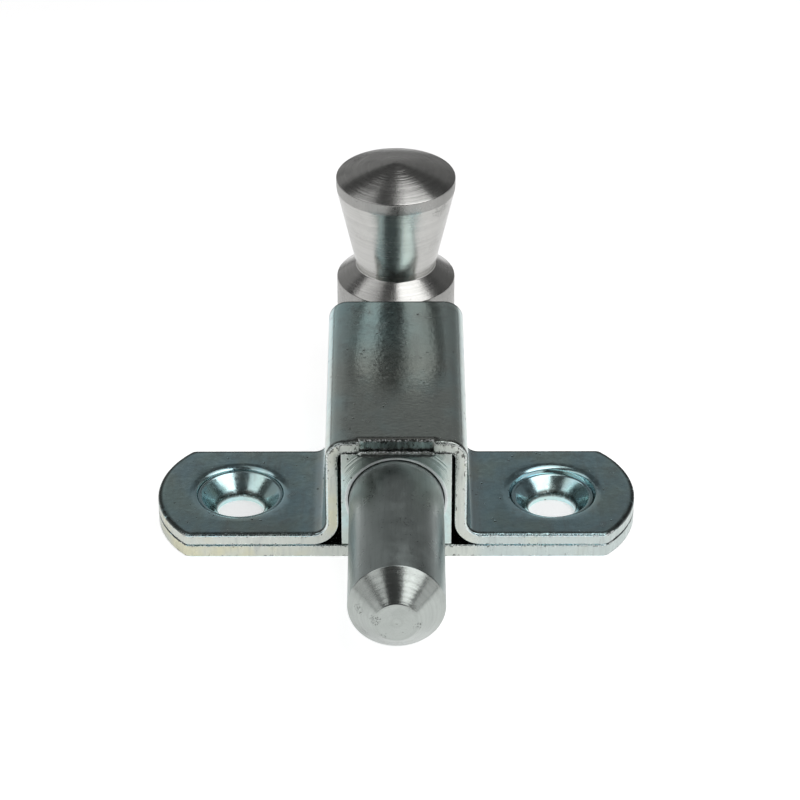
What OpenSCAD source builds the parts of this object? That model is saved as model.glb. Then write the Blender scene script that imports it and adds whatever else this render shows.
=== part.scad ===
// Spring-loaded door bolt, in millimetres. A folded channel housing and a folded base plate share two countersunk
// screw holes. A round bolt slides through an end plate at the front and carries a turned pull knob at the rear,
// and a compression spring behind its shoulder drives it out.
// The origin lies on the mounting face, midway between the screw holes. +Z points away from the door and the bolt
// shoots towards -Y.

/* [Bolt] */
// Diameter of the round bolt
bolt_d = 12; // [10:0.5:14]
// Reach of the bolt's tip beyond the front of the housing, shot out
bolt_reach = 25.9; // [24:0.1:32]
// Length of the 45 degree chamfer at the bolt's tip
tip_chamfer = 3.3; // [2:0.1:4]
// Depth of the bolt's full diameter behind the front end plate, shot out
shoulder_inset = 4; // [3:0.5:6]
// Diameter of the thin stem behind the shoulder
stem_d = 8; // [6:0.25:8.5]
// Width of the chamfer at the rear end of the stem
stem_chamfer = 0.6; // [0.3:0.1:1]
// Distance that the knob pulls the bolt back
stroke = 19; // [12:0.5:19.5]
// Radial running clearance of the bolt and its stem in the end plates
bolt_clear = 0.1; // [0.06:0.01:0.1]

/* [Housing] */
// Length of the channel, front to rear
housing_l = 34.5; // [34:0.5:44]
// Thickness of the housing's sheet
sheet_t = 1.6; // [1.2:0.1:2]
// Gap from the bolt to the roof
roof_gap = 1.2; // [0.8:0.1:2.5]
// Gap from the bolt to each side wall
side_gap = 1.4; // [1:0.1:3]
// Inside radius of the two folds along the roof
roof_fold_r = 1; // [0.6:0.1:1.6]
// Inside radius of the folds from the walls into the flanges
flange_fold_r = 1.8; // [1:0.1:2.2]
// Width of the shallow notch in the middle of the roof's front edge
notch_w = 9.4; // [6:0.2:11]
// Depth of that notch
notch_d = 0.75; // [0.4:0.05:1.2]

/* [Flanges] */
// Overall span of the flanges
flange_span = 61.8; // [58:0.1:72]
// Depth of the flanges, front to rear
flange_d = 19.4; // [17:0.2:22]
// Radius of the arched flange ends
flange_end_r = 13.5; // [12.5:0.5:18]

/* [Base plate] */
// Thickness of the base plate
base_t = 1.8; // [1.5:0.1:2.2]
// Gap from the bolt down to the base plate
floor_gap = 0.9; // [0.7:0.1:2]
// Seam between the base plate and the housing
seam = 0.05; // [0.03:0.01:0.1]
// Gap from each side of an end plate to the channel's wall
end_plate_side_gap = 0.4; // [0.2:0.05:0.8]
// Gap from the top of an end plate to the roof
end_plate_top_gap = 0.15; // [0.1:0.05:0.4]
// Radius on the outer top edge of the front end plate, under the notch in the roof
brow_r = 0.6; // [0.3:0.1:0.9]
// Radius of the outside heel where an end plate folds up
heel_r = 0.8; // [0.4:0.1:1.4]
// Radius inside the same fold
fold_r = 0.6; // [0.3:0.1:0.8]
// Width of the slit that frees each side of the fold
relief_w = 0.3; // [0.2:0.05:0.6]
// Length of that slit beyond the end plate's inner face
relief_l = 1; // [0.6:0.1:2]
// Width of the free corner of an end plate beside each slit
corner_w = 1; // [0.6:0.1:2]
// Gap from a free corner down to the base plate
corner_gap = 0.15; // [0.1:0.05:0.3]

/* [Screw holes] */
// Spacing of the two screw holes
hole_spacing = 40.5; // [38:0.5:43]
// Diameter of the screw's clearance hole
screw_hole_d = 6.1; // [5:0.1:6.4]
// Length of the straight throat at the bottom of the hole
throat_l = 1; // [0.6:0.1:1.3]
// Depth of the flared collar's rim below the top of the flange
collar_drop = 0.45; // [0.2:0.05:0.7]
// Wall of the flared collar, measured across
collar_wall = 0.5; // [0.35:0.05:0.6]
// Clearance between the collar and the flange that it grips
collar_clear = 0.03; // [0.02:0.01:0.06]
// Radius of the rolled edge around the hole in the flange
hole_edge_r = 0.35; // [0.2:0.05:0.4]

/* [Spring] */
// Diameter of the spring wire
wire_d = 0.9; // [0.6:0.05:0.9]
// Radial room between the stem and the spring
spring_room = 0.55; // [0.4:0.05:0.7]
// Working turns
working_turns = 5; // [4:1:5]
// Clearance where each end of the spring seats
spring_seat_clear = 0.05; // [0.03:0.01:0.1]
// Clearance between the touching turns at each end
turn_clear = 0.04; // [0.03:0.01:0.08]

/* [Knob] */
// Diameter of the knob's barrel and of its head
knob_d = 16; // [14:0.5:18]
// Gap from the knob's foot down to the mounting face
foot_gap = 0.65; // [0.4:0.05:1.5]
// Gap from the housing to the knob, with the bolt shot out
knob_gap = 0.2; // [0.15:0.05:0.5]
// Chamfer around the foot of the knob
foot_chamfer = 0.5; // [0.3:0.1:1]
// Height of the cone from the barrel up to the neck
collar_cone_h = 1.85; // [1:0.05:3]
// Diameter of the neck
neck_d = 10.7; // [8:0.1:12.5]
// Height of the taper from the neck up to the head
taper_h = 11.85; // [9:0.05:16]
// Height of the straight land around the head
land_h = 1.5; // [1:0.1:3]
// Height of the shallow point turned on the head
crown_h = 2.2; // [1:0.1:3]
// Depth of the bore that takes the stem
stem_seat_l = 12; // [9:0.5:12.5]
// Radial clearance of the stem in that bore
stem_seat_clear = 0.02; // [0.01:0.01:0.04]
// Clearance between the end of the stem and the bottom of its bore
stem_end_clear = 0.3; // [0.2:0.1:0.6]

/* [Hidden] */
$fn = 96;
// Overlap of solids that join, and how far a cutting solid runs past the face that it opens
eps = 0.01;
over = 1;
zinc = "#8b979a";
zinc_light = "#b4bfc0";
turned_steel = "#9a9c9b";
bolt_steel = "#6d7373";
spring_steel = "#5e6468";

// Places along the slide
front_y = -flange_d / 2;
rear_y = front_y + housing_l;
shoulder_y = front_y + base_t + shoulder_inset;
rear_plate_y = rear_y - base_t;
knob_y = rear_y + knob_gap + knob_d / 2;
tip_y = front_y - bolt_reach;
stem_end_y = knob_y - knob_d / 2 + stem_seat_l - stem_end_clear;

// Section of the channel
bolt_z = base_t + floor_gap + bolt_d / 2;
flange_z = base_t + seam;
flange_top = flange_z + sheet_t;
channel_w = bolt_d + 2 * side_gap;
housing_w = channel_w + 2 * sheet_t;
roof_in = bolt_z + bolt_d / 2 + roof_gap;
roof_top = roof_in + sheet_t;
end_plate_w = channel_w - 2 * end_plate_side_gap;
end_plate_top = roof_in - end_plate_top_gap;
fold_w = end_plate_w - 2 * (corner_w + relief_w);
fold_top = base_t + fold_r;
flange_end_x = flange_span / 2 - flange_end_r;
rod_hole_d = bolt_d + 2 * bolt_clear;
stem_hole_d = stem_d + 2 * bolt_clear;

// The flared collar: a 45 degree seat that opens from the throat up to its rim
collar_top = flange_top - collar_drop;
collar_in_r = screw_hole_d / 2 + collar_top - throat_l;
collar_out_r = collar_in_r + collar_wall;
collar_foot_r = collar_out_r - (collar_top - base_t);
flange_hole_r = collar_out_r + collar_clear;

// The spring stands between the bolt's shoulder and the rear end plate
coil_r = stem_d / 2 + spring_room + wire_d / 2;
end_pitch = wire_d + turn_clear;
spring_start_y = shoulder_y + spring_seat_clear + wire_d / 2;
spring_end_y = rear_plate_y - spring_seat_clear - wire_d / 2;
working_l = spring_end_y - spring_start_y - 2 * end_pitch;
all_turns = working_turns + 2;
steps_per_turn = 20;
wire_sides = 8;

// Heights on the knob
knob_below = bolt_z - foot_gap;
barrel_top = bolt_z + knob_below;
neck_z = barrel_top + collar_cone_h;
land_z = neck_z + taper_h;
rim_z = land_z + land_h;
knob_top = rim_z + crown_h;

// Quarter ring of sheet, its centre at the origin, filling the +X +Z quarter
module fold(r_in, t) {
    intersection() {
        difference() {
            circle(r = r_in + t);
            circle(r = r_in);
        }
        square(r_in + t + eps);
    }
}

// Right half of the channel's section, from the middle of the roof down the wall to height foot_z
module channel_half(foot_z) {
    fold_x = channel_w / 2 - roof_fold_r;
    fold_z = roof_in - roof_fold_r;
    translate([0, roof_in])
        square([fold_x, sheet_t]);
    translate([fold_x, fold_z])
        fold(roof_fold_r, sheet_t);
    translate([channel_w / 2, foot_z])
        square([sheet_t, fold_z - foot_z]);
}

// Right half of the section through a flange: the channel's half, the fold and the flat flange
module hat_half() {
    fold_x = channel_w / 2 + sheet_t + flange_fold_r;
    fold_z = flange_top + flange_fold_r;
    channel_half(fold_z);
    translate([fold_x, fold_z])
        rotate(180)
            fold(flange_fold_r, sheet_t);
    translate([fold_x, flange_z])
        square([flange_span / 2 - fold_x + over, sheet_t]);
}

// Mirrors a half section about the middle
module both_halves() {
    children();
    mirror([1, 0])
        children();
}

// Carries a section drawn in X and Z along +Y from y0 for the length l
module along_y(y0, l) {
    translate([0, y0 + l, 0])
        rotate([90, 0, 0])
            linear_extrude(l)
                children();
}

// Plan of the flanges: a strip whose ends are flat arcs that meet the long edges at corners
module flange_plan() {
    square([2 * flange_end_x, flange_d], center = true);
    for (side = [-1, 1])
        intersection() {
            translate([side * flange_end_x, 0])
                circle(r = flange_end_r);
            square([flange_span + over, flange_d], center = true);
        }
}

// Puts its children at both screw holes
module at_screw_holes() {
    for (side = [-1, 1])
        translate([side * hole_spacing / 2, 0, 0])
            children();
}

// The hole in a flange: a 45 degree seat under a straight lip with a rolled upper edge
module flange_hole() {
    seat_foot_r = flange_hole_r - (collar_top - flange_z) - eps;
    lip_edge = flange_top - hole_edge_r;
    rotate_extrude()
        difference() {
            polygon([
                [0, flange_z - eps],
                [seat_foot_r, flange_z - eps],
                [flange_hole_r, collar_top],
                [flange_hole_r, lip_edge],
                [flange_hole_r + hole_edge_r, lip_edge],
                [flange_hole_r + hole_edge_r, flange_top + eps],
                [0, flange_top + eps]
            ]);
            translate([flange_hole_r + hole_edge_r, lip_edge])
                circle(r = hole_edge_r);
        }
}

// The channel with its two flanges, folded from one sheet
module housing() {
    color(zinc)
        difference() {
            union() {
                intersection() {
                    along_y(front_y, flange_d)
                        both_halves()
                            hat_half();
                    linear_extrude(roof_top + over)
                        flange_plan();
                }
                along_y(front_y + flange_d - eps, housing_l - flange_d + eps)
                    both_halves()
                        channel_half(flange_z);
            }
            at_screw_holes()
                flange_hole();
            translate([-notch_w / 2, front_y - over, roof_in - over])
                cube([notch_w, notch_d + over, sheet_t + 2 * over]);
        }
}

// Side view of an end plate folded up from the base plate, with its outer face at Y = 0 and the fold behind it
module end_plate_section() {
    difference() {
        union() {
            square([base_t, end_plate_top]);
            square([fold_top, fold_top]);
        }
        translate([fold_top, fold_top])
            circle(r = fold_r);
        difference() {
            square(2 * heel_r, center = true);
            translate([heel_r, heel_r])
                circle(r = heel_r);
        }
    }
}

// Carries a section drawn in Y and Z along X for the width w, about the middle
module along_x(w) {
    translate([-w / 2, 0, 0])
        rotate([90, 0, 90])
            linear_extrude(w)
                children();
}

// An end plate, pierced for a shaft of the given hole diameter: its fold is narrower than the plate above, whose
// free corners hang over the base plate
module end_plate(hole_d) {
    difference() {
        union() {
            along_x(fold_w)
                end_plate_section();
            translate([-end_plate_w / 2, 0, fold_top])
                cube([end_plate_w, base_t, end_plate_top - fold_top]);
            for (x = [-end_plate_w / 2, end_plate_w / 2 - corner_w])
                translate([x, 0, base_t + corner_gap])
                    cube([corner_w, base_t, fold_r]);
        }
        translate([0, base_t + over, bolt_z])
            rotate([90, 0, 0])
                cylinder(d = hole_d, h = base_t + 2 * over);
    }
}

// Room cut from the base plate where an end plate folds up, with a slit on each side
module fold_room() {
    half = fold_w / 2 + relief_w;
    translate([-half, -over, -over])
        cube([2 * half, base_t + relief_l + over, base_t + 2 * over]);
}

// The strip between the two slits, which joins an end plate to the base plate
module fold_root() {
    translate([-fold_w / 2, base_t, 0])
        cube([fold_w, relief_l + eps, base_t]);
}

// What the rounded outer edge takes off the top of the front end plate
module brow() {
    translate([0, 0, end_plate_top])
        along_x(notch_w)
            difference() {
                translate([-over, -brow_r])
                    square(brow_r + over);
                translate([brow_r, -brow_r])
                    circle(r = brow_r);
            }
}

// The collar drawn up from the base plate and flared into the flange
module flared_collar() {
    rotate_extrude()
        polygon([
            [screw_hole_d / 2, base_t - eps],
            [collar_foot_r - eps, base_t - eps],
            [collar_out_r, collar_top],
            [collar_in_r, collar_top],
            [screw_hole_d / 2 + base_t - throat_l, base_t - eps]
        ]);
}

// The screw's way through the base plate: a straight throat under a 45 degree seat
module screw_way() {
    translate([0, 0, -over])
        cylinder(d = screw_hole_d, h = throat_l + over + eps);
    translate([0, 0, throat_l])
        cylinder(r1 = screw_hole_d / 2, r2 = collar_in_r, h = collar_top - throat_l);
    translate([0, 0, collar_top - eps])
        cylinder(r = collar_in_r, h = over);
}

// The base plate, with an end plate folded up at the front and another at the rear
module base_plate() {
    color(zinc_light)
        difference() {
            union() {
                difference() {
                    union() {
                        linear_extrude(base_t)
                            flange_plan();
                        translate([-housing_w / 2, 0, 0])
                            cube([housing_w, rear_y, base_t]);
                    }
                    translate([0, front_y, 0])
                        fold_room();
                    translate([0, rear_y, 0])
                        mirror([0, 1, 0])
                            fold_room();
                }
                translate([0, front_y, 0]) {
                    fold_root();
                    end_plate(rod_hole_d);
                }
                translate([0, rear_y, 0])
                    mirror([0, 1, 0]) {
                        fold_root();
                        end_plate(stem_hole_d);
                    }
                at_screw_holes()
                    cylinder(r1 = collar_foot_r - base_t, r2 = collar_foot_r, h = base_t);
                at_screw_holes()
                    flared_collar();
            }
            at_screw_holes()
                screw_way();
            translate([0, front_y, 0])
                brow();
        }
}

// The round bolt with its chamfered tip, its shoulder and the stem that carries the knob
module bolt_rod() {
    color(bolt_steel)
        translate([0, tip_y, bolt_z])
            rotate([-90, 0, 0])
                rotate_extrude()
                    polygon([
                        [0, 0],
                        [bolt_d / 2 - tip_chamfer, 0],
                        [bolt_d / 2, tip_chamfer],
                        [bolt_d / 2, shoulder_y - tip_y],
                        [stem_d / 2, shoulder_y - tip_y],
                        [stem_d / 2, stem_end_y - tip_y - stem_chamfer],
                        [stem_d / 2 - stem_chamfer, stem_end_y - tip_y],
                        [0, stem_end_y - tip_y]
                    ]);
}

// Distance along the spring after a number of turns: closed turns at each end, working turns between
function spring_rise(turns) =
    turns < 1 ? turns * end_pitch
    : turns > all_turns - 1 ? end_pitch + working_l + (turns - all_turns + 1) * end_pitch
    : end_pitch + (turns - 1) / working_turns * working_l;

// Corner number k of the wire's ring at a number of turns, on a coil about the Y axis
function wire_corner(turns, k) =
    let (
        around = 360 * turns,
        across = 360 * (k + 0.5) / wire_sides,
        r = coil_r + wire_d / 2 * cos(across)
    )
    [r * cos(around), spring_rise(turns) + wire_d / 2 * sin(across), r * sin(around)];

// The compression spring, its wire swept along the coil
module return_spring() {
    rings = all_turns * steps_per_turn;
    points = [
        for (i = [0 : rings])
            for (k = [0 : wire_sides - 1])
                wire_corner(i / steps_per_turn, k)
    ];
    sides = [
        for (i = [0 : rings - 1])
            for (k = [0 : wire_sides - 1])
                let (a = i * wire_sides, b = a + wire_sides, n = (k + 1) % wire_sides)
                [a + k, a + n, b + n, b + k]
    ];
    first_end = [[for (k = [0 : wire_sides - 1]) wire_sides - 1 - k]];
    last_end = [[for (k = [0 : wire_sides - 1]) rings * wire_sides + k]];
    color(spring_steel)
        translate([0, spring_start_y, bolt_z])
            polyhedron(points = points, faces = concat(sides, first_end, last_end));
}

// The turned knob: a cross-bored barrel, a waist and a tapered head
module pull_knob() {
    color(turned_steel)
        translate([0, knob_y, 0])
            difference() {
                rotate_extrude()
                    polygon([
                        [0, foot_gap],
                        [knob_d / 2 - foot_chamfer, foot_gap],
                        [knob_d / 2, foot_gap + foot_chamfer],
                        [knob_d / 2, barrel_top],
                        [neck_d / 2, neck_z],
                        [knob_d / 2, land_z],
                        [knob_d / 2, rim_z],
                        [0, knob_top]
                    ]);
                translate([0, stem_seat_l - knob_d / 2, bolt_z])
                    rotate([90, 0, 0])
                        cylinder(r = stem_d / 2 + stem_seat_clear, h = stem_seat_l + over);
            }
}

housing();
base_plate();
bolt_rod();
return_spring();
pull_knob();
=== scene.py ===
"""Dresses the door bolt: folded zinc sheet, turned bar, spring and knob around the CAD frame, in a plain studio.

Shapes are worked out in millimetres in the frame of the part: Z away from the door, -Y the way the bolt shoots,
the origin on the mounting face between the screw holes.
"""

import math
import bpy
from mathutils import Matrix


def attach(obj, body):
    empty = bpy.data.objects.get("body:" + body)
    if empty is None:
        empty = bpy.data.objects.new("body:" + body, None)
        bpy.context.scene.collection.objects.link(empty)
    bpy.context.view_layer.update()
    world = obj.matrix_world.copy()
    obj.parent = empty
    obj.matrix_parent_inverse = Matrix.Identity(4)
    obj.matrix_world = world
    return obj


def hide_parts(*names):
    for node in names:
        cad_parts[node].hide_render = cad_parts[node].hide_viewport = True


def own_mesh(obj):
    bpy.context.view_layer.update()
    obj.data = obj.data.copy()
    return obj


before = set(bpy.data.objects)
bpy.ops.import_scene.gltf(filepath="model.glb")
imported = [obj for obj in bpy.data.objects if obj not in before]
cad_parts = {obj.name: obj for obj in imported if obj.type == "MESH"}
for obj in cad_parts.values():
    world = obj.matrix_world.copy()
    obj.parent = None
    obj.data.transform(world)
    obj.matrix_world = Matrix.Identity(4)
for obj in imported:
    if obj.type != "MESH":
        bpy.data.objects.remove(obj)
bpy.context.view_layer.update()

from types import SimpleNamespace

import bpy
import numpy as np

bl_info = {
    "name": "Door bolt looks",
    "version": (1, 0, 0),
    "blender": (4, 5, 0),
    "location": "View3D > Sidebar > Door bolt",
    "description": "Builds the sheet, bar, spring and knob of a door bolt around its CAD frame",
    "category": "Object",
}

WELD = 0.0007  # size in mm of the cells whose points become one
FAR = 9.0  # distance from an edge, in mm, kept where no edge is near
HOLE_CELLS = 24  # cells along each side of the square around a hole
TURN_CELLS = 192  # cells once around a turned piece
HOLE_MARGIN = 0.22  # from the rolled edge of a screw hole out to the square around it, in mm
END_DRAW = 0.2  # how far inside the outline's corner the drawn-in lines of a flange end, in mm
BROW_FADE = 0.2  # width over which the brow's radius fades at each end, in mm
TIP_MARK, KNOB_MARK = 0.096, 0.12  # depth in mm of the marks at the centres of the turned faces
FLOOR_HALF, FLOOR_Z = 4.0, -0.00005  # half the side of the floor and its height, in metres
RAW_LINES_Y, RAW_LINES_Z = (3000, 160, 3000), (3000, 3000, 160)  # drawing lines per metre along X, Y and Z

# Roundings in mm of the corners of each profile, in order
COLLAR_ROUNDS = (0.12, 0.16, 0.25)
ROD_ROUNDS = (0.08, 0.12, 0.14, 0.15, 0.1, 0.1, 0.1)
FOOT_ROUNDS = (0.1, 0.1)
HEAD_ROUNDS = (0.12, 0.15, 0.4, 0.14, 0, 0, 0, 0, 0, 0, 0, 0.15)

# Outlines of the two lamps, X and Y for a height of 1
RIGHT_LAMP = ((0.03, 0.7), (0.25, 0.7), (1.7, -0.92), (1.2, -1.25), (0.45, -1.25), (0.03, -0.12))
LEFT_LAMP = ((-0.15, 0.7), (-0.38, -0.2), (-0.72, -1.25), (-1.2, -1.25), (-1.7, -0.92), (-0.95, 0.35), (-0.45, 0.7))

# Places and radii in mm of stains, where specks crowd. Tip: X and Z from the bolt's axis. Knob: X and Y from the
# knob's axis and Z from its land.
TIP_STAINS = ((-2.7, 0.2, 1.2), (2.7, -0.6, 1.0), (-1.6, -2.1, 0.9), (1.9, 2, 0.8), (-4.6, 0.6, 1.1), (-3.9, -3, 0.9))
KNOB_STAINS = ((6.1, -5.1, -0.5, 2.4), (-5.2, 3.4, 2.3, 1.2), (1.2, -7.8, 0, 1.2))


def length(name, value, text):
    """A length in the sidebar, kept in metres and given here in millimetres."""
    return bpy.props.FloatProperty(
        name=name, description=text, default=value / 1000, min=0, precision=5, unit="LENGTH", subtype="DISTANCE"
    )


def number(name, value, text, high=1.0, subtype="FACTOR"):
    """A plain number in the sidebar."""
    return bpy.props.FloatProperty(name=name, description=text, default=value, min=0, max=high, subtype=subtype)


def tint(name, value, text):
    """A linear colour in the sidebar."""
    return bpy.props.FloatVectorProperty(
        name=name, description=text, default=value, size=3, min=0, max=1, subtype="COLOR"
    )


class DoorBoltSheet(bpy.types.PropertyGroup):
    """Sizes of the two folded sheets"""

    sheet_t: length("Sheet", 1.6, "Thickness of the housing's sheet")
    base_t: length("Base sheet", 1.8, "Thickness of the base plate's sheet")
    seam: length("Seam", 0.05, "Gap between the flanges and the base plate")
    flange_span: length("Flange span", 61.8, "Width over both flange ends")
    flange_d: length("Flange depth", 19.4, "Depth of the flanges along the bolt")
    flange_end_r: length("Flange end", 13.5, "Radius of the arc that ends each flange")
    corner_r: length("Flange corner", 1.0, "Rounding where the arc meets the long edges")
    housing_l: length("Housing length", 34.5, "Length of the channel along the bolt")
    channel_w: length("Channel", 14.8, "Clear width inside the channel")
    roof_in: length("Roof inside", 15.9, "Height of the roof's inner face")
    roof_fold_r: length("Roof fold", 1.0, "Inside radius of the folds at the roof")
    flange_fold_r: length("Flange fold", 1.8, "Inside radius of the folds at the flanges")
    notch_w: length("Notch width", 9.4, "Width of the shallow notch in the front of the roof")
    notch_d: length("Notch depth", 0.75, "Depth of the shallow notch in the front of the roof")
    wall_slit: length("Wall slit", 0.25, "Slit between a flange and the wall behind it")
    end_plate_w: length("End plate", 14.0, "Width of the end plates")
    end_plate_top: length("End plate top", 15.75, "Height of the end plates")
    brow_r: length("Brow", 0.6, "Radius on the outer top edge of the front end plate, under the notch")
    heel_r: length("Heel", 0.8, "Outside radius where an end plate folds up")
    fold_r: length("Inner fold", 0.6, "Inside radius where an end plate folds up")
    relief_w: length("Relief width", 0.3, "Width of the slit that frees each side of the fold")
    relief_l: length("Relief length", 1.0, "How far the slits run past the end plate")
    corner_w: length("Free corner", 1.0, "Width of the free corner of an end plate beside each slit")
    corner_gap: length("Corner gap", 0.15, "Gap from a free corner down to the base plate")
    hole_spacing: length("Hole spacing", 40.5, "Distance between the screw holes")
    hole_d: length("Screw hole", 6.1, "Diameter of the screw holes")
    throat_l: length("Throat", 1.0, "Straight part of a screw hole")
    collar_drop: length("Collar drop", 0.45, "How far the collar's rim is below the flange")
    collar_wall: length("Collar wall", 0.5, "Width of the collar's rim")
    collar_clear: length("Collar clearance", 0.03, "Clearance between collar and flange")
    collar_left: length("Left collar", 0.08, "How much higher the left collar stands")
    collar_right: length("Right collar", 0.2, "How much lower the right collar stands")
    hole_edge_r: length("Hole edge", 0.35, "Height of the rolled edge around the hole in the flange")
    hole_edge_w: length("Hole edge width", 1.0, "Width of that rolled edge")
    edge_r: length("Rolled edge", 0.35, "Radius that shearing rolled onto the upper edges")
    burr_r: length("Burr edge", 0.1, "Radius left on the lower edges")
    seam_r: length("Seam edge", 0.18, "Radius on the upper edges of the base plate, along the seam")


class DoorBoltBar(bpy.types.PropertyGroup):
    """Sizes of the bolt, the spring and the knob"""

    bolt_d: length("Bolt", 12.0, "Diameter of the bolt")
    bolt_z: length("Bolt height", 8.7, "Height of the bolt's axis")
    bolt_reach: length("Reach", 25.9, "How far the bolt stands out of the housing")
    tip_chamfer: length("Tip chamfer", 3.3, "Size of the 45 degree chamfer on the tip")
    shoulder_inset: length("Shoulder inset", 4.0, "From the front end plate back to the shoulder")
    stem_d: length("Stem", 8.0, "Diameter of the stem")
    stem_chamfer: length("Stem chamfer", 0.6, "Chamfer on the end of the stem")
    bore_clear: length("Bearing clearance", 0.1, "Clearance of bolt and stem in the end plates")
    pip_r: length("Centre mark", 0.32, "Radius of the small mark at the centre of turned faces")
    wire_d: length("Wire", 0.9, "Diameter of the spring's wire")
    spring_room: length("Spring room", 0.55, "Gap between the stem and the spring")
    spring_seat: length("Spring seat", 0.05, "Clearance at each end of the spring")
    turn_clear: length("Turn clearance", 0.04, "Clearance between the touching end turns")
    knob_d: length("Knob", 16.0, "Diameter of the knob's barrel and head")
    foot_gap: length("Foot gap", 0.65, "Gap under the knob")
    foot_chamfer: length("Foot chamfer", 0.5, "Chamfer around the knob's foot")
    knob_gap: length("Knob gap", 0.2, "Gap between the housing and the knob")
    collar_cone_h: length("Collar cone", 1.85, "Height of the cone up to the neck")
    neck_d: length("Neck", 10.7, "Diameter of the neck")
    taper_h: length("Taper", 11.85, "Height of the taper")
    land_h: length("Land", 1.5, "Height of the straight land around the head")
    crown_h: length("Crown", 2.2, "Height of the crown")
    stem_seat_l: length("Stem seat", 12.0, "Depth of the bore for the stem")
    stem_seat_clear: length("Stem seat clearance", 0.02, "Clearance of the stem in that bore")
    stem_end_clear: length("Stem end clearance", 0.3, "From the end of the stem to the bottom of its bore")
    working_turns: bpy.props.IntProperty(name="Working turns", description="Working turns of the spring", default=5)


class DoorBoltFinish(bpy.types.PropertyGroup):
    """Colours and gloss of the metals"""

    zinc: tint("Zinc", (0.55, 0.61, 0.57), "Bright zinc plating")
    zinc_blue: tint("Zinc, blue", (0.54, 0.80, 0.83), "Bluish passivation in the plating")
    zinc_worn: tint("Zinc, dull", (0.42, 0.45, 0.44), "Handled and dulled plating")
    zinc_cut: tint("Zinc, sheared", (0.57, 0.60, 0.56), "Plating on the sheared edges")
    zinc_gold: tint("Zinc, gold", (0.62, 0.60, 0.42), "Yellowish passivation on the sheared edges")
    zinc_olive: tint("Zinc, olive", (0.58, 0.64, 0.54), "Olive tarnish beside the roof and on the flanges")
    zinc_sky: tint("Zinc, sky", (0.46, 0.66, 0.80), "Pale blue tarnish between the olive")
    cut_blue: tint("Cut, blue", (0.44, 0.54, 0.56), "Bluish plating on the sheared edges at the right")
    brow_blue: tint("Cut, notch", (0.44, 0.6, 0.59), "Bluish plating on the edge under the notch")
    # bare metal painted paler than steel, as highlights on the burr around the bolt and on the chips
    burr: tint("Burrs", (0.9, 0.92, 0.92), "Bare metal of the chips and of the burr around the bolt")
    # bare metal of the burrs along the sheared edges, painted paler than steel as glints
    cut_burr: tint("Cut, burrs", (0.9, 0.9, 0.88), "Bare metal of the burrs along the sheared edges")
    bar: tint("Bar", (0.355, 0.40, 0.39), "Drawn bar of the bolt")
    tip: tint("Tip", (0.432, 0.462, 0.442), "Turned tip of the bolt")
    turned: tint("Turned steel", (0.56, 0.557, 0.54), "Bright turned steel of the knob")
    wire: tint("Wire", (0.40, 0.42, 0.44), "Spring wire")
    # grime in pits and seams, and also the colour of the painted shade under the roof, in the screw seats' corners and
    # under the notch
    grime: tint("Grime", (0.05, 0.05, 0.045), "Oil and dust in pits and seams")
    zinc_gloss: number("Zinc roughness", 0.15, "Roughness of the plating")
    bar_gloss: number("Bar roughness", 0.34, "Roughness of the drawn bar")
    turned_gloss: number("Turned roughness", 0.2, "Roughness of the turned steel")


class DoorBoltStudio(bpy.types.PropertyGroup):
    """Camera, floor and lamps"""

    lens: number("Lens", 146.87, "Focal length on a 36 mm sensor, in mm", 500, "NONE")
    camera_at: bpy.props.FloatVectorProperty(
        name="Camera", description="Place of the camera", default=(-0.00038, -0.35044, 0.24219), subtype="XYZ"
    )
    look_down: number("Look down", math.radians(32.66), "Angle of the camera below the horizon", 2, "ANGLE")
    look_right: number("Look right", math.radians(0.14), "Angle of the camera to the right", 1, "ANGLE")
    right_light: number("Right lamp", 2.0, "Brightness of the lamp over the right half, at the front", 20, "NONE")
    right_back: number("Right lamp, back", 0.8, "Brightness of the same lamp at the back", 20, "NONE")
    left_light: number("Left lamp", 1.0, "Brightness of the lamp over the left half, far out", 20, "NONE")
    left_inner: number("Left lamp, inside", 0.4, "Brightness of the same lamp near the middle", 20, "NONE")
    lamp_z: length("Lamp height", 180, "Height of the two lamps")
    room: number("Room", 0.06, "Brightness of the dark studio", 2, "NONE")
    back_wall: number("Back wall", 0.225, "Brightness of the wall behind the object", 2, "NONE")
    horizon: number("Horizon", 0.45, "Brightness of the horizon behind the object, to the left and right", 2, "NONE")
    side_wall: number("Side walls", 0.8, "Brightness of the low walls beside the camera", 2, "NONE")
    floor_glow: number("Floor glow", 0.76, "Glow of the floor that the camera sees", 1, "FACTOR")
    floor_shade: number("Floor shade", 0.55, "Share of that glow under the flanges, seen through the screw holes")
    floor_shine: number("Floor shine", 0.62, "Glow of the floor that the metal reflects", 1, "FACTOR")
    floor_r: length("Table", 170, "Distance from the object at which that shine falls off")


GROUPS = {
    "door_bolt_sheet": DoorBoltSheet,
    "door_bolt_bar": DoorBoltBar,
    "door_bolt_finish": DoorBoltFinish,
    "door_bolt_studio": DoorBoltStudio,
}


def values_of(name):
    """The values of one group in the sidebar, by key."""
    values = getattr(bpy.context.scene, name)
    return {key: getattr(values, key) for key in GROUPS[name].__annotations__}


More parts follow.
